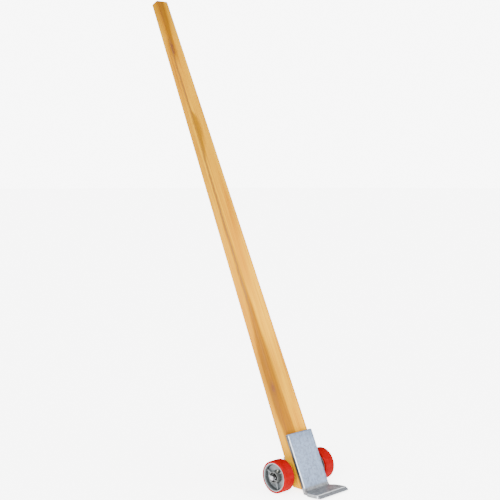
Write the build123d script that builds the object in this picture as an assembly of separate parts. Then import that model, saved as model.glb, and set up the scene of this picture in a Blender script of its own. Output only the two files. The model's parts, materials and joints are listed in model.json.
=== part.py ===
from build123d import *
import math
import os

# Wheeled timber lever bar: a tapered wooden handle, a bent steel nose plate that goes
# under the load, and two roller-bearing wheels that are the fulcrum.
#
# Bar coordinates: X along the axle, Y out of the back of the timber, Z up the handle,
# with the timber's flat front face at Y = 0. Every piece is built in bar coordinates
# and place() then leans it back and sets it on the floor, Z = 0. Lengths are in mm.

# Stance
LEAN = 25.0              # handle behind the vertical, degrees
TOE_RISE = 5.0           # toe above the floor, degrees

# Handle
HANDLE_TOP = 2134.0      # 7 ft
BASE_WIDTH = 124.0       # section at Z = 0
BASE_DEPTH = 55.0
TOP_WIDTH = 58.0         # section at the top end
TOP_DEPTH = 37.5
BASE_CLEARANCE = 14.0    # sawn bottom end above the floor
EASED_EDGE = 4.0
END_BEVEL = 2.0

# Nose plate
STEEL = 12.7             # 1/2 in plate
PLATE_WIDTH = 136.0
PLATE_TOP = 235.0
PLATE_CORNER = 6.0
BEND_RADIUS = 5.0
HEEL_FLAT = 12.0         # strip of the heel that stands on the floor
TOE_LENGTH = 98.0        # heel to tip
TOE_TIP = 3.0            # thickness at the tip
TOE_BEVEL = 15.0         # length of the ground bevel
TOE_OUTLINE = (          # distance from the heel, half width
    (0.0, 68.0),
    (15.0, 68.0),
    (27.0, 78.0),
    (60.0, 82.0),
    (98.0, 80.0),
)
TOE_CORNER = 2.5
STEEL_EDGE = 3.5

# Axle, spacers, washers and cotter pins
AXLE_Y = 56.5
AXLE_Z = 95.0
AXLE_RADIUS = 9.525      # 3/4 in
AXLE_HALF = 151.5
AXLE_CHAMFER = 1.5
SLIP = 0.05              # radial clearance of a part slid onto another
SPACER_RADIUS = 14.0
SPACER_IN = 61.6
WASHER = 2.3
WASHER_RADIUS = 19.0
PIN_X = 144.6
PIN_RADIUS = 2.1
PIN_ANGLE = 35.0         # pin direction from +Y towards +Z, degrees

# Saddle that clamps the axle to the back of the timber
SADDLE_HALF = 55.0
SADDLE_BOTTOM = 46.0
SADDLE_TOP = 160.0
SADDLE_STEEL = 8.0
SADDLE_CORNER = 8.0
SADDLE_BACK = BASE_DEPTH + SADDLE_STEEL
BOSS_RADIUS = 17.5
BOLT_RADIUS = 4.7        # 3/8 in
BOLT_X = 38.0
BOLT_ROWS = (62.0, 140.0)
BOLT_TIP_Y = -9.5
BOLT_HEAD = 6.4
BOLT_FLATS = 14.3
BOLT_WASHER = 2.0
HOLE_SLACK = 0.5         # bolt holes over the bolt
BOLT_WASHER_RADIUS = 10.3

# Wheels
WHEEL_X = 114.0
WHEEL_RADIUS = 63.5      # 5 in wheel
TREAD_WIDTH = 50.8       # 2 in tread
TREAD_EDGE = 4.0
RIM_RADIUS = 55.8
RIM_HALF = 24.4
RIM_INNER = 51.5
WEB_HALF = 4.0
HUB_RADIUS = 23.5
HUB_HALF = 27.0
BORE_RADIUS = 15.08      # 1 3/16 in bearing bore
RECESS_RADIUS = 19.6     # counterbore in the hub's outer face
RECESS_FLOOR = 19.0
CORE_FILLET = 3.0
DRAFT = 1.0              # taper of the casting's walls from face to web
RIB_ANGLES = (45.0, 165.0, 285.0)
RIB_THICKNESS = 5.0
RIB_HALF = 14.0

# Roller bearings
ROLLER_COUNT = 8
ROLLER_PITCH = 12.3
ROLLER_RADIUS = 2.74
ROLLER_HALF = 15.8
CAGE_HALF = 18.8
CAGE_INNER = 9.7
CAGE_OUTER = 14.85
CAGE_BAR = 2.2
CAGE_BAR_DEPTH = 3.2

# Retaining collars in the hub recesses
COLLAR_RADIUS = 18.6
COLLAR_FLANGE = 2.6
COLLAR_NECK = 13.0
COLLAR_END = 28.2        # outboard of the wheel's middle

# Grease fittings
FITTING_ANGLE = 140.0
FITTING_X = 15.5         # outboard of the wheel's middle
FITTING_SHANK = 2.45
FITTING_HEX = 9.0
FITTING_NECK = 2.2
FITTING_BALL = 3.8
FITTING_REACH = 32.0     # ball centre from the axle
FITTING_SEAT = 0.6       # hexagon above the hub

AXLE_LINE = Pos(0, AXLE_Y, AXLE_Z)
SIN_LEAN = math.sin(math.radians(LEAN))
COS_LEAN = math.cos(math.radians(LEAN))
LIFT = WHEEL_RADIUS + AXLE_Y * SIN_LEAN - AXLE_Z * COS_LEAN
NODES = {}


def ray(angle, length=1.0):
    """(Y, Z) offset at an angle from +Y towards +Z."""
    return Vector(math.cos(math.radians(angle)), math.sin(math.radians(angle))) * length


def bar_z(y, height):
    """Bar Z of the point at Y that stands this high above the floor."""
    return (height - LIFT + y * SIN_LEAN) / COS_LEAN


def rod(radius, low, high):
    """Cylinder along X between two X positions, on the X axis."""
    return Pos((low + high) / 2, 0, 0) * Rot(0, 90, 0) * Cylinder(radius, high - low)


def tube(inner, outer, low, high):
    return rod(outer, low, high) - rod(inner, low - 1, high + 1)


def both_sides(piece):
    """A right-hand piece and its mirror image, as one node."""
    return Compound([piece, mirror(piece, about=Plane.YZ)])


HEEL = Vector(0, bar_z(0, 0))
FORWARD = 180 + LEAN
TOE_DIRECTION = FORWARD - TOE_RISE
HEEL_FRONT = HEEL + ray(FORWARD, HEEL_FLAT)
TOE_BACK = HEEL_FRONT - ray(TOE_DIRECTION, HEEL_FLAT)
SHIFT = HEEL_FLAT / 2 - HEEL.Y * SIN_LEAN


def place(shape):
    """From bar coordinates to the standing bar, origin mid-heel on the floor."""
    return Pos(0, SHIFT, LIFT) * Rot(-LEAN, 0, 0) * shape


# ---- Handle ----
def timber_depth(z):
    return BASE_DEPTH + (TOP_DEPTH - BASE_DEPTH) * z / HANDLE_TOP


def timber_width(z):
    return BASE_WIDTH + (TOP_WIDTH - BASE_WIDTH) * z / HANDLE_TOP


def timber_section(z, inset=0.0):
    depth = timber_depth(z)
    outline = RectangleRounded(
        timber_width(z) - 2 * inset, depth - 2 * inset, EASED_EDGE
    )
    return Pos(0, depth / 2, z) * outline


def timber_blank():
    low = timber_section(-BASE_DEPTH)
    shoulder = timber_section(HANDLE_TOP - END_BEVEL)
    end = timber_section(HANDLE_TOP, END_BEVEL)
    blank = loft([low, shoulder, end], ruled=True)
    saw_cut = Plane(
        origin=(0, 0, bar_z(0, BASE_CLEARANCE)),
        x_dir=(1, 0, 0),
        z_dir=(0, -SIN_LEAN, COS_LEAN),
    )
    return split(blank, bisect_by=saw_cut, keep=Keep.TOP)


def bolt_places():
    return [Pos(side * BOLT_X, 0, z) for z in BOLT_ROWS for side in (-1, 1)]


def bolt_holes(radius, low, high):
    """Cylinders along Y at the four bolt places."""
    hole = Pos(0, (low + high) / 2, 0) * Rot(90, 0, 0) * Cylinder(radius, high - low)
    return [place_at * hole for place_at in bolt_places()]


def make_handle():
    handle = timber_blank() - AXLE_LINE * rod(AXLE_RADIUS + SLIP, -BASE_WIDTH, BASE_WIDTH)
    return handle - bolt_holes(BOLT_RADIUS + HOLE_SLACK, -1, BASE_DEPTH + 1)


# ---- Nose plate ----
def nose_section():
    """The bent plate seen from the side, in (Y, Z)."""
    tip = TOE_BACK + ray(TOE_DIRECTION, TOE_LENGTH)
    up = TOE_DIRECTION - 90
    bevel_top = tip - ray(TOE_DIRECTION, TOE_BEVEL) + ray(up, STEEL)
    toe_top = TOE_BACK + ray(up, STEEL)
    along = (-STEEL - toe_top.X) / ray(TOE_DIRECTION).X
    inner_corner = toe_top + ray(TOE_DIRECTION, along)
    outline = Polyline(
        HEEL,
        HEEL_FRONT,
        tip,
        tip + ray(up, TOE_TIP),
        bevel_top,
        inner_corner,
        Vector(-STEEL, PLATE_TOP),
        Vector(0, PLATE_TOP),
        close=True,
    )
    section = make_face(outline)
    bend = section.vertices().sort_by_distance(inner_corner)[0]
    return fillet(bend, BEND_RADIUS)


def toe_planform():
    """The flared toe seen square to its top, as a prism tall enough to take in the bend."""
    plane = Plane(
        origin=(0, TOE_BACK.X, TOE_BACK.Y),
        x_dir=(1, 0, 0),
        z_dir=(0, ray(TOE_DIRECTION - 90).X, ray(TOE_DIRECTION - 90).Y),
    )
    right = [(half, -along) for along, half in TOE_OUTLINE]
    left = [(-x, y) for x, y in reversed(right)]
    face = make_face(Polyline(*right, *left, close=True))
    front = face.vertices().sort_by(Axis.Y)[:2]
    face = plane * fillet(front, TOE_CORNER)
    return extrude(face, amount=STEEL + BEND_RADIUS) + extrude(face, amount=-STEEL)


def upright_plate():
    """The flat part of the plate, its front edges eased at the sides and top."""
    middle = (PLATE_TOP + HEEL_FRONT.Y) / 2
    outline = Rectangle(PLATE_WIDTH, PLATE_TOP - HEEL_FRONT.Y)
    top_corners = outline.vertices().group_by(Axis.Y)[-1]
    outline = Plane.XZ * Pos(0, middle) * fillet(top_corners, PLATE_CORNER)
    upright = extrude(outline, amount=STEEL)
    front = upright.faces().sort_by(Axis.Y)[0]
    return fillet(front.edges().sort_by(Axis.Z)[1:], STEEL_EDGE)


def make_nose_plate():
    wide = extrude(Plane.YZ * nose_section(), amount=PLATE_WIDTH, both=True)
    plate = wide & (upright_plate() + toe_planform())
    return plate - bolt_holes(BOLT_RADIUS + SLIP, BOLT_TIP_Y - 0.5, 1)


# ---- Saddle and its bolts ----
def make_saddle(timber):
    height = SADDLE_TOP - SADDLE_BOTTOM
    outline = RectangleRounded(2 * SADDLE_HALF, height, SADDLE_CORNER)
    face = Plane.XZ * Pos(0, (SADDLE_TOP + SADDLE_BOTTOM) / 2) * outline
    flat = Pos(0, SADDLE_BACK, 0) * extrude(face, amount=2 * SADDLE_STEEL)
    boss = AXLE_LINE * rod(BOSS_RADIUS, -SADDLE_HALF, SADDLE_HALF)
    channel = AXLE_LINE * rod(AXLE_RADIUS + SLIP, -BASE_WIDTH, BASE_WIDTH)
    holes = bolt_holes(BOLT_RADIUS + HOLE_SLACK, 0, SADDLE_BACK + 1)
    return flat + boss - channel - holes - timber


def hexagon_head(flats, height):
    head = extrude(RegularPolygon(flats / 2, 6, major_radius=False), amount=height)
    return chamfer(head.faces().sort_by(Axis.Z)[-1].edges(), height / 8)


def make_bolts():
    under_head = SADDLE_BACK + BOLT_WASHER
    length = under_head - BOLT_TIP_Y
    shank = Pos(0, 0, -length / 2) * Cylinder(BOLT_RADIUS, length)
    bolt = shank + hexagon_head(BOLT_FLATS, BOLT_HEAD)
    bolt = chamfer(bolt.edges().sort_by(Axis.Z)[0], BOLT_RADIUS / 6)
    bolt = Pos(0, under_head, 0) * Rot(-90, 0, 0) * bolt
    return Compound([where * bolt for where in bolt_places()])


def make_bolt_washers():
    ring = Cylinder(BOLT_WASHER_RADIUS, BOLT_WASHER)
    ring = ring - Cylinder(BOLT_RADIUS + HOLE_SLACK, 2 * BOLT_WASHER)
    ring = Pos(0, SADDLE_BACK + BOLT_WASHER / 2, 0) * Rot(90, 0, 0) * ring
    return Compound([where * ring for where in bolt_places()])


# ---- Axle and what is slid onto it ----
def make_axle():
    axle = rod(AXLE_RADIUS, -AXLE_HALF, AXLE_HALF)
    axle = chamfer(axle.edges().filter_by(GeomType.CIRCLE), AXLE_CHAMFER)
    pin_hole = Rot(90 + PIN_ANGLE, 0, 0) * Cylinder(PIN_RADIUS + SLIP, 3 * AXLE_RADIUS)
    for side in (-1, 1):
        axle -= Pos(side * PIN_X, 0, 0) * pin_hole
    return AXLE_LINE * axle


def make_spacers():
    inner_face = WHEEL_X - HUB_HALF - WASHER - 4 * SLIP
    spacer = tube(AXLE_RADIUS + SLIP, SPACER_RADIUS, SPACER_IN, inner_face - SLIP)
    return AXLE_LINE * both_sides(spacer)


def make_inner_washers():
    outer_face = WHEEL_X - HUB_HALF - 4 * SLIP
    washer = tube(AXLE_RADIUS + SLIP, WASHER_RADIUS, outer_face - WASHER, outer_face)
    return AXLE_LINE * both_sides(washer)


def make_collars():
    """Flanged collars that hold the bearings in, between hub recess and cotter pin."""
    seat = WHEEL_X + RECESS_FLOOR + 2 * SLIP
    bore = AXLE_RADIUS + SLIP
    flange = tube(bore, COLLAR_RADIUS, seat, seat + COLLAR_FLANGE)
    neck = tube(bore, COLLAR_NECK, seat, WHEEL_X + COLLAR_END)
    return AXLE_LINE * both_sides(flange + neck)


def cotter_leg(side):
    """One bent leg of a cotter pin whose straight part lies along Z."""
    leg = PIN_RADIUS / 2
    start = -AXLE_RADIUS - PIN_RADIUS
    tip = Vector(side * 3.5 * PIN_RADIUS, 0, start - 2.5 * PIN_RADIUS)
    path = Line(Vector(side * leg, 0, start + PIN_RADIUS), tip)
    section = Plane(origin=path @ 0, z_dir=path % 0) * Circle(leg)
    return sweep(section, path=path)


def make_cotter_pins():
    straight = 2 * (AXLE_RADIUS + PIN_RADIUS)
    pin = Cylinder(PIN_RADIUS, straight)
    eye = Rot(90, 0, 0) * Torus(1.7 * PIN_RADIUS, 0.55 * PIN_RADIUS)
    pin += Pos(0, 0, straight / 2 + 1.5 * PIN_RADIUS) * eye
    pin += [cotter_leg(1), cotter_leg(-1)]
    pin = Pos(PIN_X, 0, 0) * Rot(PIN_ANGLE - 90, 0, 0) * Rot(0, 0, 90) * pin
    return AXLE_LINE * both_sides(pin)


# ---- Wheels, modelled about their own middle ----
def core_section():
    """Half section of the cast core, as (X, radius)."""
    right = [
        (HUB_HALF, BORE_RADIUS),
        (HUB_HALF, HUB_RADIUS - DRAFT),
        (WEB_HALF, HUB_RADIUS + DRAFT),
        (WEB_HALF, RIM_INNER - 1.5 * DRAFT),
        (RIM_HALF, RIM_INNER),
        (RIM_HALF, RIM_RADIUS),
    ]
    left = [(-x, r) for x, r in reversed(right)]
    section = make_face(Polyline(*right, *left, close=True))
    hollow = [v for v in section.vertices() if abs(v.X) < WEB_HALF + 1]
    section = fillet(hollow, CORE_FILLET)
    lips = [
        v
        for v in section.vertices()
        if abs(v.X) > RIM_HALF - 1 and BORE_RADIUS + 1 < v.Y < RIM_RADIUS - 1
    ]
    return fillet(lips, CORE_FILLET / 3)


def core_ribs():
    length = RIM_INNER - HUB_RADIUS + 2
    middle = (RIM_INNER + HUB_RADIUS) / 2
    rib = Pos(0, middle, 0) * Box(2 * RIB_HALF, length, RIB_THICKNESS)
    rib = chamfer(rib.edges().filter_by(Axis.Y), RIB_THICKNESS / 6)
    return [Rot(angle, 0, 0) * rib for angle in RIB_ANGLES]


def make_core():
    core = revolve(core_section(), Axis.X)
    core -= rod(RECESS_RADIUS, RECESS_FLOOR, HUB_HALF + 1)
    core += core_ribs()
    hole = Pos(FITTING_X, 0, HUB_RADIUS) * Cylinder(FITTING_SHANK + SLIP, HUB_RADIUS)
    core -= Rot(FITTING_ANGLE - 90, 0, 0) * hole
    return core


def make_tread():
    middle = (RIM_RADIUS + WHEEL_RADIUS) / 2
    band = Pos(0, middle) * Rectangle(TREAD_WIDTH, WHEEL_RADIUS - RIM_RADIUS)
    outer = band.vertices().group_by(Axis.Y)[-1]
    return revolve(fillet(outer, TREAD_EDGE), Axis.X)


def make_fitting():
    """Grease fitting screwed into the hub, standing along Z before it is turned."""
    seat = HUB_RADIUS + FITTING_SEAT
    shank_low = BORE_RADIUS + 1.5
    shank_length = seat + 1 - shank_low
    shank = Pos(0, 0, shank_low + shank_length / 2) * Cylinder(FITTING_SHANK, shank_length)
    base = RegularPolygon(FITTING_HEX / 2, 6, major_radius=False)
    fitting = shank + Pos(0, 0, seat) * extrude(base, amount=FITTING_HEX / 2)
    neck_length = FITTING_REACH - seat
    fitting += Pos(0, 0, seat + neck_length / 2) * Cylinder(FITTING_NECK, neck_length)
    fitting += Pos(0, 0, FITTING_REACH) * Sphere(FITTING_BALL)
    return Pos(FITTING_X, 0, 0) * Rot(FITTING_ANGLE - 90, 0, 0) * fitting


# ---- Roller bearings ----
def around(piece, offset=0.0):
    """Copies of a piece at each roller's place, or between them."""
    step = 360 / ROLLER_COUNT
    turns = [step * (i + offset) for i in range(ROLLER_COUNT)]
    return [Rot(turn, 0, 0) * piece for turn in turns]


def make_rollers():
    roller = Pos(0, ROLLER_PITCH, 0) * rod(ROLLER_RADIUS, -ROLLER_HALF, ROLLER_HALF)
    return Compound(around(roller))


def make_cage():
    ring = CAGE_HALF - ROLLER_HALF - SLIP
    cage = tube(CAGE_INNER, CAGE_OUTER, CAGE_HALF - ring, CAGE_HALF)
    cage += mirror(cage, about=Plane.YZ)
    bar = Pos(0, ROLLER_PITCH, 0) * Box(2 * CAGE_HALF - ring, CAGE_BAR_DEPTH, CAGE_BAR)
    return cage + around(bar, 0.5)


def to_side(piece, side):
    """Moves a right-hand wheel piece onto the axle, on the right (1) or left (-1)."""
    placed = AXLE_LINE * Pos(WHEEL_X, 0, 0) * piece
    return placed if side > 0 else mirror(placed, about=Plane.YZ)


def main():
    NODES["handle"] = make_handle()
    NODES["nose_plate"] = make_nose_plate()
    NODES["axle_saddle"] = make_saddle(timber_blank())
    NODES["saddle_bolts"] = make_bolts()
    NODES["saddle_washers"] = make_bolt_washers()
    NODES["axle"] = make_axle()
    NODES["spacers"] = make_spacers()
    NODES["inner_washers"] = make_inner_washers()
    NODES["retaining_collars"] = make_collars()
    NODES["cotter_pins"] = make_cotter_pins()
    wheel = {
        "wheel_core": make_core(),
        "tread": make_tread(),
        "grease_fitting": make_fitting(),
        "rollers": make_rollers(),
        "bearing_cage": make_cage(),
    }
    for name, piece in wheel.items():
        NODES["right_" + name] = to_side(piece, 1)
        NODES["left_" + name] = to_side(piece, -1)
    os.makedirs("parts", exist_ok=True)
    for name, shape in NODES.items():
        placed = place(shape)
        export_step(placed, f"parts/{name}.step")
        box = placed.bounding_box()
        print(f"{name:22s} solids {len(placed.solids())}  z {box.min.Z:8.2f} {box.max.Z:8.2f}")


main()
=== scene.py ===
# %% [markdown]
# # A wheeled timber lever bar
# A rigger pushes the steel toe of this bar under a crate, pulls the long handle down and
# rolls the load away on the two wheels. The shapes come finished from CAD, in metres, with
# Z up and the middle of the heel at the origin. This lesson gives them their materials
# and lights them.

# %% Load the finished model
import json
import math

import bmesh
import bpy
from mathutils import Matrix, Vector

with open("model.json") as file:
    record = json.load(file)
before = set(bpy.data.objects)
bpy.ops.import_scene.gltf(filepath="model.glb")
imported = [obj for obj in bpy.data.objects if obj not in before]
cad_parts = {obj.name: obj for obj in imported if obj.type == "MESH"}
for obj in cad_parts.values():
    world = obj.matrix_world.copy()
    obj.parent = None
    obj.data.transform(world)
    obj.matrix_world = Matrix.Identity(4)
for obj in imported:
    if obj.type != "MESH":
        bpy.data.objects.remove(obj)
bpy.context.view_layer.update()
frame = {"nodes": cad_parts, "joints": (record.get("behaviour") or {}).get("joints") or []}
nodes = frame["nodes"]

# %% [markdown]
# ## Where things are
# The handle leans back, so grain that simply followed the world's axes would run across the
# timber. A second set of axes, fixed to the timber, solves that: X along the axle, Y out of
# its back, Z up the handle. One rotation and one shift lead from the model's axes to them.
# The axle's middle is known in both, which gives the shift.

# %% Axes that follow the handle
LEAN = math.radians(25)
AXLE_IN_TIMBER = Vector((0, 0.0565, 0.095))
HANDLE_LENGTH = 2.134

axle_at_rest = Vector((0, *frame["joints"][0]["pos_m"][1:]))
to_timber = Matrix.Rotation(LEAN, 4, "X")
timber_shift = AXLE_IN_TIMBER - to_timber @ axle_at_rest


def timber_point(x, y, z):
    """A point given in the timber's axes, in the model's axes."""
    return to_timber.inverted() @ (Vector((x, y, z)) - timber_shift)


print("axle:", [round(v, 4) for v in axle_at_rest])
print("top of the handle:", [round(v, 3) for v in timber_point(0, 0, HANDLE_LENGTH)])

# %% [markdown]
# ## Camera
# The bar is seen from its front left, from a little above waist height, with a long lens.
# A long lens keeps the handle's two edges nearly parallel, as they are to the eye.

# %% Camera
camera_data = bpy.data.cameras.new("camera")
camera_data.sensor_width = 36
camera_data.lens = 73.14
camera_data.shift_x = -0.05
camera_data.shift_y = 0.1
camera_data.clip_end = 200
camera = bpy.data.objects.new("camera", camera_data)
camera.location = (-2.791, -2.574, 1.2785)
camera.rotation_euler = (math.radians(90 - 7.98), 0, math.radians(-44.86))
bpy.context.scene.collection.objects.link(camera)
bpy.context.scene.camera = camera
print("camera distance to the axle:", round((camera.location - axle_at_rest).length, 2), "m")

# %% [markdown]
# ## Helpers for building materials
# A material is a small network of nodes. Adding nodes by hand takes three lines each, so
# these helpers shorten it to one. A setting can be a plain value or another node's output.

# %% Helper: colours
def paint(red, green, blue):
    """A colour as the share of red, green and blue light that the surface sends back."""
    return (red, green, blue, 1)


# %% Helper: add a node
def fill(socket, value):
    """Links an output to a socket, or sets the socket's own value."""
    if isinstance(value, bpy.types.NodeSocket):
        socket.id_data.links.new(value, socket)
    else:
        socket.default_value = value


def add(tree, kind, inputs=None, **settings):
    """Adds a node of a kind, with its settings, and fills its inputs by name or number."""
    made = tree.nodes.new(kind)
    for name, value in settings.items():
        setattr(made, name, value)
    for key, value in (inputs or {}).items():
        fill(made.inputs[key], value)
    return made


def maths(tree, operation, a, b=0.0, clamp=False):
    """One arithmetic step."""
    step = add(tree, "ShaderNodeMath", {0: a, 1: b}, operation=operation, use_clamp=clamp)
    return step.outputs[0]


def between(tree, value, low, high, out_low=0.0, out_high=1.0):
    """A smooth step: out_low below low, out_high above high."""
    step = add(
        tree,
        "ShaderNodeMapRange",
        {"Value": value, "From Min": low, "From Max": high, "To Min": out_low, "To Max": out_high},
        interpolation_type="SMOOTHSTEP",
    )
    return step.outputs["Result"]


def blend_colour(tree, factor, a, b):
    """Mixes two colours by a factor."""
    mix = add(tree, "ShaderNodeMix", data_type="RGBA", clamp_factor=True)
    fill(mix.inputs["Factor"], factor)
    fill(mix.inputs["A"], a)
    fill(mix.inputs["B"], b)
    return mix.outputs["Result"]


# %% Helper: patterns at a real size
def stretched(tree, vector, size):
    """Divides a position by a size in metres along each axis, which sets a pattern's size."""
    scale = tuple(1 / s for s in size)
    moved = add(tree, "ShaderNodeMapping", {"Vector": vector, "Scale": scale})
    return moved.outputs[0]


def cloud(tree, vector, size, detail=3.0, roughness=0.5):
    """Soft random patches of a given size in metres, from 0 to 1."""
    noise = add(
        tree,
        "ShaderNodeTexNoise",
        {
            "Vector": stretched(tree, vector, size),
            "Scale": 1.0,
            "Detail": detail,
            "Roughness": roughness,
        },
    )
    return noise.outputs[0]


def new_material(name):
    """An empty material, its tree, its Principled shader and the position of each point."""
    material = bpy.data.materials.new(name)
    material.use_nodes = True
    tree = material.node_tree
    shader = tree.nodes["Principled BSDF"]
    place = add(tree, "ShaderNodeTexCoord").outputs["Object"]
    return material, tree, shader, place


def relief(tree, shader, height, depth):
    """Raises and sinks the surface by up to a depth in metres."""
    bump = add(tree, "ShaderNodeBump", {"Height": height, "Strength": 1.0, "Distance": depth})
    fill(shader.inputs["Normal"], bump.outputs[0])


def finish_with(material, *names):
    """Puts a material on CAD nodes."""
    for name in names:
        slots = nodes[name].data.materials
        slots.clear()
        slots.append(material)
    print(material.name, "on", ", ".join(names))


# %% [markdown]
# ## Effects that several materials share
# The metals, the paint and the treads all show soft mottling. The steels and the treads also
# have fine parallel scratches, and the nose plate has a little dirt near the floor. Each
# effect is a node group: built once, then placed wherever it is needed with its own values.

# %% Helper: start a node group
def new_group(name, inputs, outputs):
    """A node group with named sockets; inputs are (name, kind, default)."""
    group = bpy.data.node_groups.new(name, "ShaderNodeTree")
    for label, kind, default in inputs:
        socket = group.interface.new_socket(label, in_out="INPUT", socket_type=kind)
        if default is not None:
            socket.default_value = default
    for label in outputs:
        group.interface.new_socket(label, in_out="OUTPUT", socket_type="NodeSocketFloat")
    return group, group.nodes.new("NodeGroupInput"), group.nodes.new("NodeGroupOutput")


FLOAT, VECTOR = "NodeSocketFloat", "NodeSocketVector"

# %% Group: mottling
mottle_group, given, out = new_group(
    "mottling",
    [("Position", VECTOR, None), ("Patch", FLOAT, 0.02), ("Fleck", FLOAT, 0.003)],
    ["Patches", "Flecks"],
)
for label, size in (("Patches", "Patch"), ("Flecks", "Fleck")):
    scaled = add(
        mottle_group,
        "ShaderNodeVectorMath",
        {0: given.outputs["Position"]},
        operation="SCALE",
    )
    fill(scaled.inputs["Scale"], maths(mottle_group, "DIVIDE", 1.0, given.outputs[size]))
    noise = add(
        mottle_group,
        "ShaderNodeTexNoise",
        {"Vector": scaled.outputs[0], "Scale": 1.0, "Detail": 4.0, "Roughness": 0.6},
    )
    fill(out.inputs[label], between(mottle_group, noise.outputs[0], 0.3, 0.7))
print("group:", mottle_group.name)

# %% Group: fine scratches along one direction
scratch_group, given, out = new_group(
    "scratches",
    [("Position", VECTOR, None), ("Stretch", VECTOR, (1, 1, 1)), ("Amount", FLOAT, 0.5)],
    ["Lines", "Deep"],
)
stretch = add(
    scratch_group,
    "ShaderNodeVectorMath",
    {0: given.outputs["Position"], 1: given.outputs["Stretch"]},
    operation="MULTIPLY",
)
lines = add(
    scratch_group,
    "ShaderNodeTexNoise",
    {"Vector": stretch.outputs[0], "Scale": 1.0, "Detail": 5.0, "Roughness": 0.7},
)
fill(out.inputs["Lines"], between(scratch_group, lines.outputs[0], 0.3, 0.7))
lowered = maths(scratch_group, "MULTIPLY", given.outputs["Amount"], 0.3)
threshold = maths(scratch_group, "SUBTRACT", 0.8, lowered)
full_depth = maths(scratch_group, "ADD", threshold, 0.04)
deep = between(scratch_group, lines.outputs[0], threshold, full_depth)
fill(out.inputs["Deep"], deep)
print("group:", scratch_group.name)

# %% Group: dirt that fades with height
DIRT_PATCH = (0.012, 0.012, 0.012)
dirt_group, given, out = new_group(
    "floor_dirt",
    [("Position", VECTOR, None), ("Top", FLOAT, 0.03), ("Amount", FLOAT, 0.5)],
    ["Dirt"],
)
height = add(dirt_group, "ShaderNodeSeparateXYZ", {0: given.outputs["Position"]}).outputs["Z"]
patches = cloud(dirt_group, given.outputs["Position"], DIRT_PATCH, detail=5.0, roughness=0.65)
uneven = maths(dirt_group, "MULTIPLY", patches, 2.0)
edge = maths(dirt_group, "MULTIPLY", given.outputs["Top"], uneven)
low = maths(dirt_group, "SUBTRACT", 1.0, maths(dirt_group, "DIVIDE", height, edge), clamp=True)
fill(out.inputs["Dirt"], maths(dirt_group, "MULTIPLY", low, given.outputs["Amount"], clamp=True))
print("group:", dirt_group.name)


# %% Helper: place a group
def use(tree, group, **inputs):
    """Places a group in a tree, fills its inputs by name and gives its outputs."""
    placed = tree.nodes.new("ShaderNodeGroup")
    placed.node_tree = group
    for name, value in inputs.items():
        fill(placed.inputs[name.capitalize()], value)
    return placed.outputs


# %% [markdown]
# ## The varnished timber
# The handle is one sawn plank of straight-grained ash under amber varnish. Its colour comes in
# three scales: a broad brown heartwood band that wanders along the left front edge, growth
# lines a few millimetres wide, and hair-fine pores. All of them run up the handle, so every
# pattern is stretched along the timber's own Z. There are three knots: one low down on the
# left edge, a larger one near the top and one on the back.

# %% Timber: axes and position across the face
BOTTOM_HALF_WIDTH = 0.062
HALF_WIDTH_LOST = 0.033
SIDE_WRAP = 0.11

wood, tree, shader, place = new_material("varnished_ash")
along_timber = add(
    tree,
    "ShaderNodeMapping",
    {"Vector": place, "Location": timber_shift, "Rotation": (LEAN, 0, 0)},
).outputs[0]
axes = add(tree, "ShaderNodeSeparateXYZ", {0: along_timber}).outputs
across, deep_in, up = axes["X"], axes["Y"], axes["Z"]
rise = maths(tree, "DIVIDE", up, HANDLE_LENGTH)
narrowing = maths(tree, "MULTIPLY", rise, HALF_WIDTH_LOST)
half_width = maths(tree, "SUBTRACT", BOTTOM_HALF_WIDTH, narrowing)
from_left = maths(tree, "ADD", across, half_width)
face_place = maths(tree, "DIVIDE", from_left, maths(tree, "MULTIPLY", half_width, 2.0))
wrapped = maths(tree, "SUBTRACT", face_place, maths(tree, "DIVIDE", deep_in, SIDE_WRAP))
print("timber axes ready; the left front edge is 0, the right one 1")


# %% Timber: knots
def knot(x, z, half_wide, half_long):
    """Distance from a knot's middle, 1 at its rim, measured round the left edge."""
    side = maths(tree, "DIVIDE", maths(tree, "SUBTRACT", wrapped, x), half_wide)
    length = maths(tree, "DIVIDE", maths(tree, "SUBTRACT", up, z), half_long)
    side_squared = maths(tree, "MULTIPLY", side, side)
    length_squared = maths(tree, "MULTIPLY", length, length)
    return maths(tree, "SQRT", maths(tree, "ADD", side_squared, length_squared))


low_knot = knot(0.0, 0.424, 0.065, 0.015)
top_knot = knot(0.16, 1.905, 0.13, 0.026)
back_knot = knot(0.12, 0.93, 0.05, 0.012)
back_knot = maths(tree, "ADD", back_knot, between(tree, deep_in, 0.03, 0.04, 10.0, 0.0))
nearest = maths(tree, "MINIMUM", maths(tree, "MINIMUM", low_knot, top_knot), back_knot)
ripple = cloud(tree, along_timber, (0.004, 0.004, 0.01), detail=2.0)
ripple = maths(tree, "MULTIPLY", maths(tree, "SUBTRACT", ripple, 0.5), 0.5)
nearest = maths(tree, "ADD", nearest, ripple)
knot_ring = maths(
    tree,
    "MULTIPLY",
    between(tree, nearest, 0.25, 0.6, 0.35, 1.0),
    between(tree, nearest, 0.7, 1.2, 1.0, 0.0),
)
knot_halo = between(tree, nearest, 0.9, 3.2, 1.0, 0.0)
print("knots: 3")


# %% Timber: the brown heartwood band
def along_curve(points):
    """A value that changes up the handle; points are (height fraction, value)."""
    curve = add(tree, "ShaderNodeFloatCurve", {"Value": rise})
    line = curve.mapping.curves[0]
    line.points[0].location = points[0]
    line.points[1].location = points[-1]
    for point in points[1:-1]:
        line.points.new(*point)
    curve.mapping.update()
    return curve.outputs[0]


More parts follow.
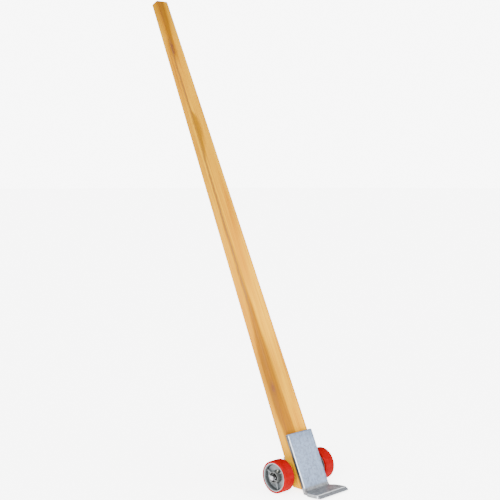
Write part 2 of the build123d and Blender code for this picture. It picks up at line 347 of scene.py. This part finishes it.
band_right = along_curve(
    [
        (0.0, 0.50), (0.10, 0.48), (0.18, 0.44), (0.27, 0.39), (0.33, 0.31), (0.45, 0.20),
        (0.53, 0.12), (0.61, 0.04), (0.64, 0.10), (0.665, 0.24), (0.70, 0.42), (0.73, 0.50),
        (0.76, 0.18), (0.80, 0.05), (0.865, 0.03), (0.89, 0.25), (0.92, 0.45), (0.96, 0.60),
        (1.0, 0.64),
    ]
)
band_left = along_curve(
    [
        (0.0, 0.40), (0.11, 0.37), (0.165, 0.24), (0.25, 0.24), (0.33, 0.42), (0.45, 0.50),
        (0.9, 0.5), (1.0, 0.46),
    ]
)
wander = cloud(tree, along_timber, (0.011, 0.011, 0.35), detail=4.0, roughness=0.6)
wandering = maths(tree, "MULTIPLY", maths(tree, "SUBTRACT", wander, 0.5), 0.28)
edge_place = maths(tree, "ADD", wrapped, wandering)
right_gap = maths(tree, "SUBTRACT", band_right, edge_place)
left_gap = maths(tree, "SUBTRACT", edge_place, maths(tree, "SUBTRACT", band_left, 0.5))
band = maths(
    tree,
    "MULTIPLY",
    between(tree, right_gap, -0.07, 0.20),
    between(tree, left_gap, -0.10, 0.10),
)
print("heartwood band set by", len(tree.nodes), "nodes so far")

# %% Timber: growth lines, streaks and pores
streaks = cloud(tree, along_timber, (0.006, 0.006, 0.45), detail=5.0, roughness=0.62)
fibres = cloud(tree, along_timber, (0.0014, 0.0014, 0.09), detail=3.0, roughness=0.6)
pores = cloud(tree, along_timber, (0.0006, 0.0006, 0.012), detail=1.0)
pore_marks = between(tree, pores, 0.62, 0.72)
broad = cloud(tree, along_timber, (0.05, 0.05, 0.7), detail=2.0)
drift = cloud(tree, along_timber, (0.08, 0.08, 0.05), detail=4.0, roughness=0.65)
drifting = maths(tree, "MULTIPLY", maths(tree, "SUBTRACT", drift, 0.5), 0.16)
line_place = maths(tree, "ADD", wrapped, drifting)
edge_line = maths(tree, "ABSOLUTE", maths(tree, "SUBTRACT", line_place, 0.04))
edge_line = between(tree, edge_line, 0.01, 0.10, 1.0, 0.0)
line_strength = along_curve(
    [
        (0.0, 0.15), (0.3, 0.3), (0.4, 0.75), (0.5, 0.9), (0.62, 1.0), (0.72, 0.6),
        (0.8, 1.0), (0.87, 0.9), (0.93, 0.3), (1.0, 0.1),
    ]
)
edge_line = maths(tree, "MULTIPLY", edge_line, line_strength)
print("grain: streaks, fibres, pores and a dark line along the left front edge")

# %% Timber: colour
HONEY = paint(0.45, 0.19, 0.001)
STRAW = paint(0.58, 0.29, 0.002)
AMBER = paint(0.29, 0.092, 0.001)
BROWN = paint(0.130, 0.061, 0.028)
KNOT_RED = paint(0.11, 0.042, 0.028)
BAND_LINE = paint(0.09, 0.042, 0.024)
EDGE_BROWN = paint(0.12, 0.065, 0.045)
PORE_BROWN = paint(0.25, 0.09, 0.02)

colour = blend_colour(tree, between(tree, broad, 0.35, 0.65), HONEY, STRAW)
colour = blend_colour(tree, between(tree, streaks, 0.45, 0.68, 0.0, 0.75), colour, AMBER)
band_shade = maths(tree, "MULTIPLY", band, between(tree, streaks, 0.2, 0.7, 0.95, 0.55))
colour = blend_colour(tree, band_shade, colour, BROWN)
band_lines = maths(tree, "MULTIPLY", band, between(tree, streaks, 0.48, 0.62, 0.0, 0.40))
colour = blend_colour(tree, band_lines, colour, BAND_LINE)
right_edge = between(tree, face_place, 0.86, 0.98, 0.0, 0.45)
colour = blend_colour(tree, right_edge, colour, AMBER)
# Painted shade: the top tenth of the handle is darkened towards brown.
top_shade = between(tree, rise, 0.90, 1.0, 0.0, 0.35)
colour = blend_colour(tree, top_shade, colour, BROWN)
colour = blend_colour(tree, maths(tree, "MULTIPLY", edge_line, 0.85), colour, EDGE_BROWN)
colour = blend_colour(tree, between(tree, fibres, 0.45, 0.75, 0.0, 0.45), colour, AMBER)
colour = blend_colour(tree, maths(tree, "MULTIPLY", knot_halo, 0.5), colour, BROWN)
colour = blend_colour(tree, maths(tree, "MULTIPLY", knot_ring, 0.72), colour, KNOT_RED)
colour = blend_colour(tree, maths(tree, "MULTIPLY", pore_marks, 0.35), colour, PORE_BROWN)
print("timber colour: 11 mixes")

# %% [markdown]
# A curve over the height scales the colour as painted shade, down to about six tenths of the
# foot's value at the top, and painted shade keeps the narrow left side darker than the front.
# Both are painted into the colour, so they stay the same in any light.

# %% Timber: painted shade up the handle and on the left side
painted_shade = along_curve(
    [
        (0.0, 0.74), (0.137, 0.74), (0.214, 0.66), (0.33, 0.77), (0.45, 0.745), (0.572, 0.60),
        (0.676, 0.53), (0.87, 0.53), (0.96, 0.46), (1.0, 0.44),
    ]
)
LEFT_SIDE_SHADE, FRONT_SHADE = 1.04, 1.26
side_shade = between(tree, face_place, -0.01, 0.03, LEFT_SIDE_SHADE, FRONT_SHADE)
shaded_colour = add(
    tree,
    "ShaderNodeHueSaturation",
    {"Color": colour, "Saturation": 1.1, "Value": maths(tree, "MULTIPLY", painted_shade, side_shade)},
)
fill(shader.inputs["Base Color"], shaded_colour.outputs[0])
print("tone: left side", LEFT_SIDE_SHADE, "front", FRONT_SHADE)

# %% Timber: varnish
shader.inputs["Specular IOR Level"].default_value = 0.02
shader.inputs["Coat Weight"].default_value = 0.015
shader.inputs["Coat Roughness"].default_value = 0.18
shader.inputs["Coat IOR"].default_value = 1.5
fill(shader.inputs["Roughness"], between(tree, fibres, 0.3, 0.7, 0.42, 0.58))
grain_height = maths(tree, "SUBTRACT", fibres, maths(tree, "MULTIPLY", pore_marks, 0.5))
relief(tree, shader, grain_height, 0.0002)
finish_with(wood, "handle")

# %% [markdown]
# ## The nose plate
# The nose plate is half-inch hot-rolled steel, bent and then zinc coated, so its face is a soft
# bluish grey with cloudy patches. The toe slides under loads on concrete: its top is rubbed to a
# darker, brushed grey, and its ground bevel is darker, with a painted highlight where it starts.
# One material does all of it, with masks: the toe is whatever lies below the bend in the
# timber's axes, and the bevel is found from the model's own Y.

# %% Nose plate: masks
PLATE_HALF = 0.068
PLATE_TOP = 0.235
BEND = (0.026, 0.014)
BEVEL_START = (-0.0745, -0.0765)
BEVEL_HIGHLIGHT_END = (-0.080, -0.077)
ACROSS_TOE = (900.0, 40.0, 60.0)
UP_THE_FACE = (500.0, 500.0, 30.0)

steel, tree, shader, place = new_material("nose_plate_steel")
along_timber = add(
    tree,
    "ShaderNodeMapping",
    {"Vector": place, "Location": timber_shift, "Rotation": (LEAN, 0, 0)},
).outputs[0]
axes = add(tree, "ShaderNodeSeparateXYZ", {0: along_timber}).outputs
model_axes = add(tree, "ShaderNodeSeparateXYZ", {0: place}).outputs
mottle = use(tree, mottle_group, position=place, patch=0.011, fleck=0.0030)
toe = between(tree, axes["Z"], *BEND)
toe_tip = between(tree, model_axes["Y"], *BEVEL_START)
scratches = use(tree, scratch_group, position=place, stretch=ACROSS_TOE, amount=0.5)
face_scratches = use(
    tree, scratch_group, position=along_timber, stretch=UP_THE_FACE, amount=0.35
)
dirt = use(tree, dirt_group, position=place, top=0.012, amount=0.6)
print("nose plate masks ready")

# %% [markdown]
# The cut sides of the plate carry painted shade, nearly black. A painted highlight runs down the
# face beside its left edge only, while painted shade darkens the right edge and the top of the
# face. The distance to the nearest edge places all of them.

# %% Nose plate: edges
side_gap = maths(tree, "SUBTRACT", PLATE_HALF, maths(tree, "ABSOLUTE", axes["X"]))
top_gap = maths(tree, "SUBTRACT", PLATE_TOP, axes["Z"])
edge_gap = maths(tree, "MINIMUM", side_gap, top_gap)
# Painted shade: the cut sides are made nearly black.
cut_side_shade = between(tree, edge_gap, 0.0004, 0.0012, 1.0, 0.0)
cut_side_shade = maths(tree, "MULTIPLY", cut_side_shade, maths(tree, "SUBTRACT", 1.0, toe))
# Painted highlight: a pale line beside the left edge, away from the top.
edge_highlight = maths(
    tree,
    "MULTIPLY",
    between(tree, edge_gap, 0.0008, 0.0018),
    between(tree, edge_gap, 0.0036, 0.0052, 1.0, 0.0),
)
left_side = between(tree, axes["X"], 0.02, -0.02)
below_top = between(tree, top_gap, 0.004, 0.010)
edge_highlight = maths(tree, "MULTIPLY", edge_highlight, maths(tree, "MULTIPLY", left_side, below_top))
print("nose plate edges ready")

# %% Nose plate: colour
ZINC_LIGHT = paint(0.19, 0.25, 0.37)
ZINC_DARK = paint(0.09, 0.118, 0.17)
WORN = paint(0.12, 0.13, 0.142)
BRIGHT = paint(0.45, 0.47, 0.52)
FLECK_GREY = paint(0.30, 0.35, 0.42)
SCRATCH_GREY = paint(0.40, 0.44, 0.50)
EDGE_SHADE_GREY = paint(0.06, 0.07, 0.09)
CUT_SIDE_SHADE = paint(0.05, 0.05, 0.05)
HIGHLIGHT_PALE = paint(0.80, 0.84, 0.88)
WORN_LIGHT = paint(0.25, 0.265, 0.28)
WORN_DARK = paint(0.075, 0.068, 0.066)
BEVEL_GREY = paint(0.13, 0.14, 0.16)
BEVEL_HIGHLIGHT = paint(0.70, 0.72, 0.75)
RUST = paint(0.075, 0.052, 0.045)
DIRT = paint(0.03, 0.027, 0.024)

broad_patches = cloud(tree, along_timber, (0.012, 0.012, 0.035), detail=6.0, roughness=0.72)
small_clouds = maths(tree, "MULTIPLY", mottle["Patches"], 0.45)
large_clouds = maths(tree, "MULTIPLY", broad_patches, 0.6)
clouding = maths(tree, "ADD", small_clouds, large_clouds)
colour = blend_colour(tree, between(tree, clouding, 0.2, 0.8), ZINC_DARK, ZINC_LIGHT)
colour = blend_colour(tree, maths(tree, "MULTIPLY", mottle["Flecks"], 0.3), colour, FLECK_GREY)
deep_scratches = maths(tree, "MULTIPLY", face_scratches["Deep"], 0.4)
colour = blend_colour(tree, deep_scratches, colour, SCRATCH_GREY)
top_shadow = between(tree, top_gap, 0.0, 0.06, 0.45, 0.0)
colour = blend_colour(tree, top_shadow, colour, ZINC_DARK)
streaky = cloud(tree, along_timber, (0.004, 0.004, 0.05), detail=4.0, roughness=0.6)
colour = blend_colour(tree, between(tree, streaky, 0.5, 0.7, 0.0, 0.45), colour, ZINC_DARK)
# Painted shade on the right edge and the top of the face.
edge_shade = between(tree, edge_gap, 0.002, 0.008, 0.5, 0.0)
edge_shade = maths(tree, "MULTIPLY", edge_shade, maths(tree, "SUBTRACT", 1.0, left_side))
colour = blend_colour(tree, edge_shade, colour, EDGE_SHADE_GREY)
# Painted shade on the cut sides, then the painted highlight beside the left edge.
colour = blend_colour(tree, cut_side_shade, colour, CUT_SIDE_SHADE)
colour = blend_colour(tree, maths(tree, "MULTIPLY", edge_highlight, 0.8), colour, HIGHLIGHT_PALE)

worn = blend_colour(tree, scratches["Lines"], WORN, WORN_LIGHT)
worn = blend_colour(tree, maths(tree, "MULTIPLY", mottle["Patches"], 0.6), worn, WORN_DARK)
worn = blend_colour(tree, maths(tree, "MULTIPLY", scratches["Deep"], 0.6), worn, BRIGHT)
worn = blend_colour(tree, maths(tree, "MULTIPLY", toe_tip, 0.7), worn, BEVEL_GREY)
# Painted highlight: a bright line where the bevel starts.
before_highlight_end = between(tree, model_axes["Y"], *BEVEL_HIGHLIGHT_END)
bevel_highlight = maths(tree, "MULTIPLY", toe_tip, before_highlight_end)
worn = blend_colour(tree, maths(tree, "MULTIPLY", bevel_highlight, 0.8), worn, BEVEL_HIGHLIGHT)
colour = blend_colour(tree, toe, colour, worn)
rust_patches = cloud(tree, place, (0.012, 0.006, 0.006), detail=4.0, roughness=0.7)
rust = between(tree, rust_patches, 0.56, 0.68, 0.0, 0.55)
colour = blend_colour(tree, maths(tree, "MULTIPLY", rust, toe), colour, RUST)
colour = blend_colour(tree, dirt["Dirt"], colour, DIRT)
fill(shader.inputs["Base Color"], colour)
print("nose plate colour: zinc above the bend, worn steel below it")

# %% Nose plate: gloss and relief
shader.inputs["Metallic"].default_value = 0.85
rough = between(tree, mottle["Patches"], 0.0, 1.0, 0.42, 0.56)
rough = maths(tree, "ADD", rough, maths(tree, "MULTIPLY", face_scratches["Deep"], 0.15))
fill(shader.inputs["Roughness"], rough)
toe_lines = maths(tree, "MULTIPLY", scratches["Lines"], maths(tree, "MULTIPLY", toe, 0.8))
surface = maths(tree, "ADD", maths(tree, "MULTIPLY", mottle["Flecks"], 0.4), toe_lines)
relief(tree, shader, surface, 0.00012)
finish_with(steel, "nose_plate")

# %% [markdown]
# ## Saddle, axle and fasteners
# These are the plain steels, most of them hidden: a dull pressed saddle, a bright turned axle
# and rollers, zinc-plated bolts, washers, spacers and cotter pins, black collars and bearing
# cages, and yellowish grease fittings. They differ in colour and gloss but share the same
# mottling and scratches, so one function makes them all.

# %% Plain steels
def plain_steel(name, light, dark, roughness, stretch, metallic=1.0):
    """A steel in two tones, with mottling and scratches."""
    material, tree, shader, place = new_material(name)
    mottle = use(tree, mottle_group, position=place, patch=0.009, fleck=0.0016)
    scratches = use(tree, scratch_group, position=place, stretch=stretch, amount=0.45)
    colour = blend_colour(tree, mottle["Patches"], dark, light)
    colour = blend_colour(tree, maths(tree, "MULTIPLY", scratches["Deep"], 0.4), colour, dark)
    fill(shader.inputs["Base Color"], colour)
    shader.inputs["Metallic"].default_value = metallic
    gloss = between(tree, scratches["Lines"], 0.0, 1.0, roughness - 0.06, roughness + 0.08)
    fill(shader.inputs["Roughness"], gloss)
    height = maths(tree, "ADD", scratches["Lines"], maths(tree, "MULTIPLY", mottle["Flecks"], 0.5))
    relief(tree, shader, height, 0.00004)
    return material


AROUND_AXLE = (900.0, 60.0, 60.0)
ALONG_FLOOR = (60.0, 60.0, 700.0)
ALL_WAYS = (400.0, 400.0, 400.0)

saddle_steel = plain_steel(
    "saddle_steel", paint(0.24, 0.25, 0.27), paint(0.12, 0.125, 0.135), 0.5, ALONG_FLOOR
)
turned_steel = plain_steel(
    "turned_steel", paint(0.26, 0.27, 0.28), paint(0.12, 0.12, 0.125), 0.30, AROUND_AXLE
)
zinc_plate = plain_steel(
    "zinc_plate", paint(0.38, 0.39, 0.40), paint(0.20, 0.21, 0.225), 0.36, AROUND_AXLE
)
black_oxide = plain_steel(
    "black_oxide", paint(0.03, 0.03, 0.03), paint(0.012, 0.012, 0.012), 0.42, AROUND_AXLE, 0.8
)
nipple_plate = plain_steel(
    "nipple_plate", paint(0.34, 0.34, 0.31), paint(0.16, 0.155, 0.13), 0.26, ALL_WAYS
)

finish_with(saddle_steel, "axle_saddle")
finish_with(turned_steel, "axle", "left_rollers", "right_rollers")
finish_with(
    zinc_plate, "saddle_bolts", "saddle_washers", "spacers", "inner_washers", "cotter_pins"
)
finish_with(black_oxide, "retaining_collars", "left_bearing_cage", "right_bearing_cage")
finish_with(nipple_plate, "left_grease_fitting", "right_grease_fitting")

# %% [markdown]
# ## The wheel cores
# Each core is a sand casting under thin grey-green paint: a hub, a web with three ribs and a
# flat rim. The paint keeps the sand's fine lumps and is rubbed off the rim's edge. Painted shade
# darkens the deep parts between hub and rim, the rim's inner wall, the hub and the bore.
# Distance from the axle tells rim, web and hub apart.

# %% Distance from the axle
WHEEL_MIDDLE = 0.114
RIM_HALF = 0.0244
RIM_WALL_START = (0.0485, 0.0505)
RIM_EDGE_START = (0.0535, 0.0552)
HUB_END = (0.027, 0.0245)
BORE_END = (0.0203, 0.0196)


def axle_radius(tree, place):
    """How far each point is from the axle's centre line, in metres."""
    moved = add(tree, "ShaderNodeVectorMath", {0: place, 1: -axle_at_rest}, operation="ADD")
    flat = add(
        tree, "ShaderNodeVectorMath", {0: moved.outputs[0], 1: (0, 1, 1)}, operation="MULTIPLY"
    )
    length = add(tree, "ShaderNodeVectorMath", {0: flat.outputs[0]}, operation="LENGTH")
    return length.outputs["Value"]


print("wheel middles at X = plus and minus", WHEEL_MIDDLE)


# %% Wheel core: where each part lies
core_paint, tree, shader, place = new_material("core_paint")
radius = axle_radius(tree, place)
mottle = use(tree, mottle_group, position=place, patch=0.012, fleck=0.0022)
side = maths(tree, "ABSOLUTE", add(tree, "ShaderNodeSeparateXYZ", {0: place}).outputs["X"])
from_middle = maths(tree, "ABSOLUTE", maths(tree, "SUBTRACT", side, WHEEL_MIDDLE))
depth = maths(tree, "SUBTRACT", RIM_HALF, from_middle)
recess = between(tree, depth, 0.002, 0.019)
rim_wall = between(tree, radius, *RIM_WALL_START)
hub = between(tree, radius, *HUB_END)
lip = maths(tree, "MULTIPLY", rim_wall, between(tree, depth, 0.0012, 0.0004))
bore = between(tree, radius, *BORE_END)
print("wheel core masks ready")

# %% Wheel core: colour
PAINT_DARK = paint(0.095, 0.106, 0.112)
PAINT_LIGHT = paint(0.135, 0.150, 0.156)
RECESS_SHADE = paint(0.055, 0.06, 0.062)
WALL_SHADE = paint(0.028, 0.032, 0.033)
HUB_SHADE = paint(0.034, 0.034, 0.029)
LIP_GREY = paint(0.13, 0.148, 0.152)
BORE_SHADE = paint(0.02, 0.02, 0.02)
RIM_WORN = paint(0.14, 0.14, 0.15)

colour = blend_colour(tree, mottle["Patches"], PAINT_DARK, PAINT_LIGHT)
# Painted shade in the recess, on the rim's inner wall, over the hub and in the bore.
recess_shade = maths(tree, "MULTIPLY", recess, between(tree, mottle["Patches"], 0.0, 1.0, 0.35, 0.75))
colour = blend_colour(tree, recess_shade, colour, RECESS_SHADE)
wall_shade = maths(tree, "MULTIPLY", rim_wall, between(tree, recess, 0.0, 0.4, 0.3, 0.95))
colour = blend_colour(tree, wall_shade, colour, WALL_SHADE)
colour = blend_colour(tree, maths(tree, "MULTIPLY", hub, 0.75), colour, HUB_SHADE)
colour = blend_colour(tree, lip, colour, LIP_GREY)
colour = blend_colour(tree, bore, colour, BORE_SHADE)
rim_edge = between(tree, radius, *RIM_EDGE_START)
worn_rim = maths(tree, "MULTIPLY", rim_edge, mottle["Flecks"])
colour = blend_colour(tree, maths(tree, "MULTIPLY", worn_rim, 0.5), colour, RIM_WORN)
fill(shader.inputs["Base Color"], colour)
shader.inputs["Metallic"].default_value = 0.25
fill(shader.inputs["Roughness"], between(tree, mottle["Flecks"], 0.0, 1.0, 0.38, 0.52))
relief(tree, shader, mottle["Flecks"], 0.00018)
finish_with(core_paint, "left_wheel_core", "right_wheel_core")

# %% [markdown]
# ## The red treads
# The treads are polyurethane, cast around the cores and turned true: a strong clear red with
# hardly any coat, very fine turning marks round the running surface and a trace of pale dust
# pressed into it.

# %% Tread
RUNNING_SURFACE = (0.0622, 0.0633)
TREAD_DARK = paint(0.145, 0.0, 0.0005)
TREAD_LIGHT = paint(0.175, 0.0, 0.0008)
DUST = paint(0.40, 0.22, 0.20)

tread, tree, shader, place = new_material("red_tread")
radius = axle_radius(tree, place)
mottle = use(tree, mottle_group, position=place, patch=0.02, fleck=0.0012)
turning = use(tree, scratch_group, position=place, stretch=(1400.0, 25.0, 25.0), amount=0.4)
running = between(tree, radius, *RUNNING_SURFACE)
colour = blend_colour(tree, mottle["Patches"], TREAD_DARK, TREAD_LIGHT)
dust = maths(tree, "MULTIPLY", running, maths(tree, "MULTIPLY", mottle["Flecks"], 0.012))
colour = blend_colour(tree, dust, colour, DUST)
fill(shader.inputs["Base Color"], colour)
rough = between(tree, turning["Lines"], 0.0, 1.0, 0.24, 0.34)
fill(shader.inputs["Roughness"], maths(tree, "ADD", rough, maths(tree, "MULTIPLY", running, 0.06)))
shader.inputs["Specular IOR Level"].default_value = 0.0
shader.inputs["Coat Weight"].default_value = 0.03
shader.inputs["Coat Roughness"].default_value = 0.08
relief(tree, shader, maths(tree, "MULTIPLY", turning["Lines"], running), 0.00006)
finish_with(tread, "left_tread", "right_tread")

# %% [markdown]
# ## Light and floor
# A plain pale studio: a white floor, a bright even surround and three wide soft lamps. The
# strongest comes from the left, so it lights the timber's narrow left side more than its
# front. The floor also gives off light of its own, like a light table, which keeps it near
# white and fills the undersides.

# %% Floor
FLOOR_RADIUS = 40
FLOOR_GLOW = 5.0

floor_mesh = bpy.data.meshes.new("floor")
shape = bmesh.new()
bmesh.ops.create_circle(shape, cap_ends=True, segments=96, radius=FLOOR_RADIUS)
shape.to_mesh(floor_mesh)
shape.free()
floor = bpy.data.objects.new("floor", floor_mesh)
bpy.context.scene.collection.objects.link(floor)
floor_paint, tree, shader, place = new_material("floor_paint")
patches = cloud(tree, place, (0.5, 0.5, 0.5), detail=2.0)
colour = blend_colour(tree, patches, paint(0.88, 0.88, 0.88), paint(0.9, 0.9, 0.9))
fill(shader.inputs["Base Color"], colour)
fill(shader.inputs["Emission Color"], colour)
shader.inputs["Emission Strength"].default_value = FLOOR_GLOW
shader.inputs["Roughness"].default_value = 0.7
floor_mesh.materials.append(floor_paint)

# %% Surround
SURROUND_LIGHT = 0.6
EXTRA_SEEN = 7.6

surround = bpy.data.worlds.new("surround")
surround.use_nodes = True
tree = surround.node_tree
seen_by_camera = add(tree, "ShaderNodeLightPath").outputs["Is Camera Ray"]
extra = maths(tree, "MULTIPLY", seen_by_camera, EXTRA_SEEN)
strength = maths(tree, "ADD", SURROUND_LIGHT, extra)
tree.nodes["Background"].inputs["Color"].default_value = paint(1, 1, 1)
fill(tree.nodes["Background"].inputs["Strength"], strength)
bpy.context.scene.world = surround
print("surround:", SURROUND_LIGHT, "as a light,", SURROUND_LIGHT + EXTRA_SEEN, "to the camera")


# %% Lamps
def soft_sun(name, comes_from, strength, softness):
    """An even light from one direction, as a wide soft lamp a long way off gives."""
    data = bpy.data.lights.new(name, "SUN")
    data.energy = strength
    data.angle = math.radians(softness)
    lamp = bpy.data.objects.new(name, data)
    lamp.rotation_euler = Vector(comes_from).to_track_quat("Z", "Y").to_euler()
    bpy.context.scene.collection.objects.link(lamp)


soft_sun("key_light", (-0.78, -0.42, 0.5), 8.2, 40)
soft_sun("front_light", (0.35, -0.8, 0.5), 3.6, 50)
soft_sun("top_light", (0.1, 0.25, 1.0), 4.0, 70)
print("lamps: 3")
